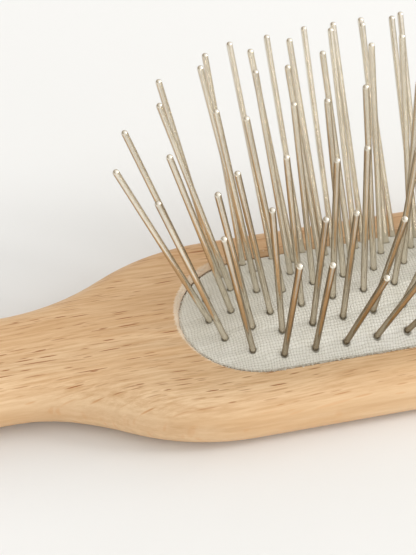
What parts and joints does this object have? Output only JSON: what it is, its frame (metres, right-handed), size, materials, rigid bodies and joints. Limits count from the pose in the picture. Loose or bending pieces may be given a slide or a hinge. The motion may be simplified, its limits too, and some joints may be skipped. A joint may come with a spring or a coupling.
{
  "type": "cushioned wire pin brush",
  "caption": "Wooden paddle-shaped grooming brush with long straight wire pins set in a crowned, fabric-faced rubber cushion.",
  "frame": {"origin": "on the flat back of the head, straight under the middle of the cushion", "axes": "+X along the brush away from the handle, +Y across it, +Z the way the pins point"},
  "size_m": [0.2041, 0.0608, 0.0503],
  "materials": {
    "beech": "oiled, satin",
    "rubber": "matte natural rubber",
    "cotton": "plain woven cotton, matte",
    "steel_pins": "bright drawn wire"
  },
  "bodies": {
    "body": {"brush_body": "beech"},
    "cushion": {"cushion_rubber": "rubber", "cushion_fabric": "cotton"},
    "pin_row_a": {"pins_row_a_1": "steel_pins", "pins_row_a_2": "steel_pins", "pins_row_a_3": "steel_pins", "pins_row_a_4": "steel_pins", "pins_row_a_5": "steel_pins", "pins_row_a_6": "steel_pins"},
    "pin_row_b": {"pins_row_b_1": "steel_pins", "pins_row_b_2": "steel_pins", "pins_row_b_3": "steel_pins", "pins_row_b_4": "steel_pins", "pins_row_b_5": "steel_pins", "pins_row_b_6": "steel_pins"},
    "pin_row_c": {"pins_row_c_1": "steel_pins", "pins_row_c_2": "steel_pins", "pins_row_c_3": "steel_pins", "pins_row_c_4": "steel_pins", "pins_row_c_5": "steel_pins", "pins_row_c_6": "steel_pins"},
    "pin_row_d": {"pins_row_d_1": "steel_pins", "pins_row_d_2": "steel_pins", "pins_row_d_3": "steel_pins", "pins_row_d_4": "steel_pins", "pins_row_d_5": "steel_pins", "pins_row_d_6": "steel_pins", "pins_row_d_7": "steel_pins"},
    "pin_row_e": {"pins_row_e_1": "steel_pins", "pins_row_e_2": "steel_pins", "pins_row_e_3": "steel_pins", "pins_row_e_4": "steel_pins", "pins_row_e_5": "steel_pins", "pins_row_e_6": "steel_pins"},
    "pin_row_f": {"pins_row_f_1": "steel_pins", "pins_row_f_2": "steel_pins", "pins_row_f_3": "steel_pins", "pins_row_f_4": "steel_pins", "pins_row_f_5": "steel_pins", "pins_row_f_6": "steel_pins"},
    "pin_row_g": {"pins_row_g_1": "steel_pins", "pins_row_g_2": "steel_pins", "pins_row_g_3": "steel_pins", "pins_row_g_4": "steel_pins", "pins_row_g_5": "steel_pins"}
  },
  "joints": [
    {"name": "cushion_press", "type": "slide", "parent": "body", "child": "cushion", "axis": [0, 0, -1], "range_m": [0, 0.002], "stiffness_N_per_m": 4000, "deforming": ["cushion_rubber", "cushion_fabric"]},
    {"name": "pin_row_a_rock", "type": "hinge", "parent": "cushion", "child": "pin_row_a", "pos_m": [0, -0.0102, 0.00955], "axis": [1, 0, 0], "range_deg": [-6, 6], "stiffness_Nm_per_rad": 1.5},
    {"name": "pin_row_b_rock", "type": "hinge", "parent": "cushion", "child": "pin_row_b", "pos_m": [0, -0.0068, 0.01145], "axis": [1, 0, 0], "range_deg": [-6, 6], "stiffness_Nm_per_rad": 1.5},
    {"name": "pin_row_c_rock", "type": "hinge", "parent": "cushion", "child": "pin_row_c", "pos_m": [0, -0.0034, 0.0127], "axis": [1, 0, 0], "range_deg": [-6, 6], "stiffness_Nm_per_rad": 1.5},
    {"name": "pin_row_d_rock", "type": "hinge", "parent": "cushion", "child": "pin_row_d", "pos_m": [0, 0, 0.01262], "axis": [1, 0, 0], "range_deg": [-6, 6], "stiffness_Nm_per_rad": 1.5},
    {"name": "pin_row_e_rock", "type": "hinge", "parent": "cushion", "child": "pin_row_e", "pos_m": [0, 0.0034, 0.01244], "axis": [1, 0, 0], "range_deg": [-6, 6], "stiffness_Nm_per_rad": 1.5},
    {"name": "pin_row_f_rock", "type": "hinge", "parent": "cushion", "child": "pin_row_f", "pos_m": [0, 0.0068, 0.01145], "axis": [1, 0, 0], "range_deg": [-6, 6], "stiffness_Nm_per_rad": 1.5},
    {"name": "pin_row_g_rock", "type": "hinge", "parent": "cushion", "child": "pin_row_g", "pos_m": [0, 0.0102, 0.00958], "axis": [1, 0, 0], "range_deg": [-6, 6], "stiffness_Nm_per_rad": 1.5}
  ]
}
